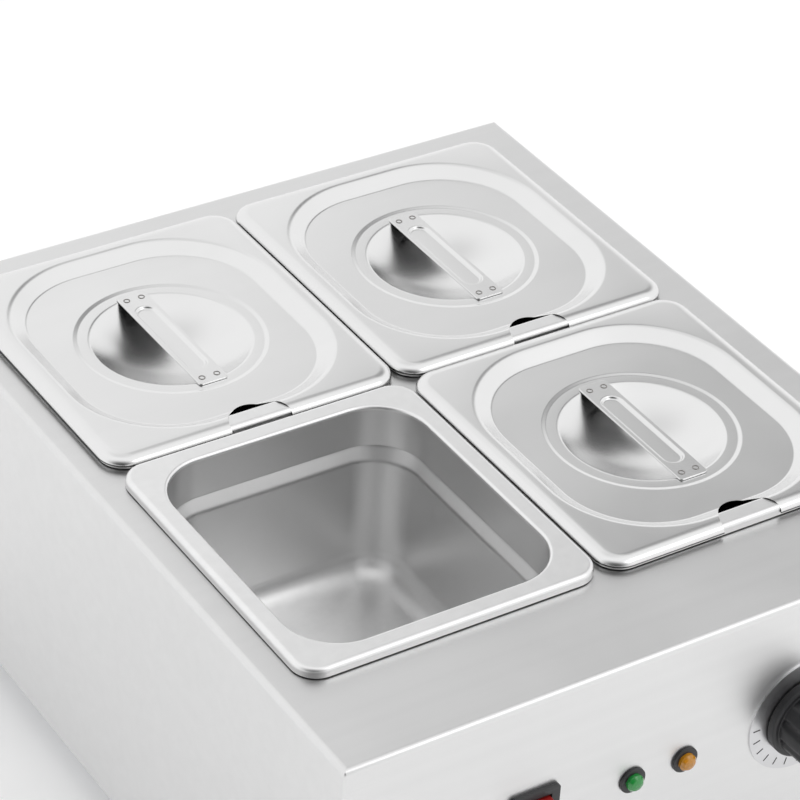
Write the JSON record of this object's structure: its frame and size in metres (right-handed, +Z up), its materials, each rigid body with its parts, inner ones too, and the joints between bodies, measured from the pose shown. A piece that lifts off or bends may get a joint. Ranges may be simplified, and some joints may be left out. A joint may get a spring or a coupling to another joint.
{
  "type": "chocolate melter",
  "caption": "Table-top chocolate melter: folded stainless casing with a heated well, drop-in rounded pans, stamped lids with strip handles, a thermostat knob and a rocker switch.",
  "frame": {"origin": "middle of the footprint on the table", "axes": "+Z up, the control panel faces -Y, +X to the right seen from the front"},
  "size_m": [0.368, 0.4722, 0.2065],
  "materials": {
    "satin_steel": "satin, brushed along the folds",
    "zinc_steel": "zinc plated",
    "bright_steel": "bright turned",
    "well_steel": "dull drawn sheet",
    "pan_steel": "polished deep-drawn stainless",
    "lid_steel": "polished stamped stainless",
    "handle_steel": "polished stainless strip",
    "mineral_wool": "mineral wool felt",
    "spreader_aluminium": "mill finish",
    "dial_aluminium": "satin anodised",
    "element_steel": "oxidised heater sheath",
    "terminal_brass": "plain",
    "bulb_copper": "drawn copper tube",
    "black_plastic": "fine grain",
    "grey_plastic": "moulded phenolic",
    "white_plastic": "moulded ceramic look",
    "rocker_plastic": "smooth gloss",
    "green_lens": "tinted lens",
    "amber_lens": "tinted lens",
    "wire_silicone": "silicone sheath",
    "foot_rubber": "matt moulded rubber"
  },
  "bodies": {
    "body": {"casing": "satin_steel", "front_panel": "satin_steel", "rear_panel": "satin_steel", "base_plate": "zinc_steel", "casing_screws": "bright_steel", "heated_well": "well_steel", "side_insulation": "mineral_wool", "floor_insulation": "mineral_wool", "heat_spreader": "spreader_aluminium", "heating_element": "element_steel", "element_terminals": "terminal_brass", "clamp_bars": "zinc_steel", "clamp_studs": "zinc_steel", "clamp_nuts": "zinc_steel", "safety_cutout": "black_plastic", "thermostat_body": "grey_plastic", "dial_plate": "dial_aluminium", "thermostat_bulb": "bulb_copper", "bulb_clip": "zinc_steel", "switch_housing": "black_plastic", "lamp_holders": "black_plastic", "power_lamp_lens": "green_lens", "heating_lamp_lens": "amber_lens", "gland_body": "black_plastic", "gland_dome_nut": "black_plastic", "gland_lock_nut": "black_plastic", "terminal_block": "white_plastic", "earth_stud": "terminal_brass", "earth_nut": "terminal_brass", "wiring": "wire_silicone", "foot_screws": "zinc_steel", "foot_nuts": "zinc_steel", "foot_front_left": "foot_rubber", "foot_rear_left": "foot_rubber", "foot_front_right": "foot_rubber", "foot_rear_right": "foot_rubber"},
    "pan_rear_left": {"pan_rear_left": "pan_steel"},
    "pan_rear_right": {"pan_rear_right": "pan_steel"},
    "pan_front_left": {"pan_front_left": "pan_steel"},
    "pan_front_right": {"pan_front_right": "pan_steel"},
    "lid_rear_left": {"lid_rear_left": "lid_steel", "lid_handle_rear_left": "handle_steel"},
    "lid_rear_right": {"lid_rear_right": "lid_steel", "lid_handle_rear_right": "handle_steel"},
    "lid_front_right": {"lid_front_right": "lid_steel", "lid_handle_front_right": "handle_steel"},
    "knob": {"thermostat_knob": "black_plastic", "thermostat_shaft": "bright_steel"},
    "rocker": {"switch_rocker": "rocker_plastic"}
  },
  "joints": [
    {"name": "lift_pan_rear_left", "type": "slide", "parent": "body", "child": "pan_rear_left", "axis": [0, 0, 1], "range_m": [0, 0.11]},
    {"name": "lift_pan_rear_right", "type": "slide", "parent": "body", "child": "pan_rear_right", "axis": [0, 0, 1], "range_m": [0, 0.11]},
    {"name": "lift_pan_front_left", "type": "slide", "parent": "body", "child": "pan_front_left", "axis": [0, 0, 1], "range_m": [0, 0.11]},
    {"name": "lift_pan_front_right", "type": "slide", "parent": "body", "child": "pan_front_right", "axis": [0, 0, 1], "range_m": [0, 0.11]},
    {"name": "lift_lid_rear_left", "type": "slide", "parent": "pan_rear_left", "child": "lid_rear_left", "axis": [0, 0, 1], "range_m": [0, 0.06]},
    {"name": "lift_lid_rear_right", "type": "slide", "parent": "pan_rear_right", "child": "lid_rear_right", "axis": [0, 0, 1], "range_m": [0, 0.06]},
    {"name": "lift_lid_front_right", "type": "slide", "parent": "pan_front_right", "child": "lid_front_right", "axis": [0, 0, 1], "range_m": [0, 0.06]},
    {"name": "turn_knob", "type": "hinge", "parent": "body", "child": "knob", "pos_m": [0.078, -0.214, 0.128], "axis": [0, 1, 0], "range_deg": [0, 270]},
    {"name": "tip_rocker", "type": "hinge", "parent": "body", "child": "rocker", "pos_m": [-0.078, -0.21235, 0.128], "axis": [-1, 0, 0], "range_deg": [0, 20]}
  ]
}
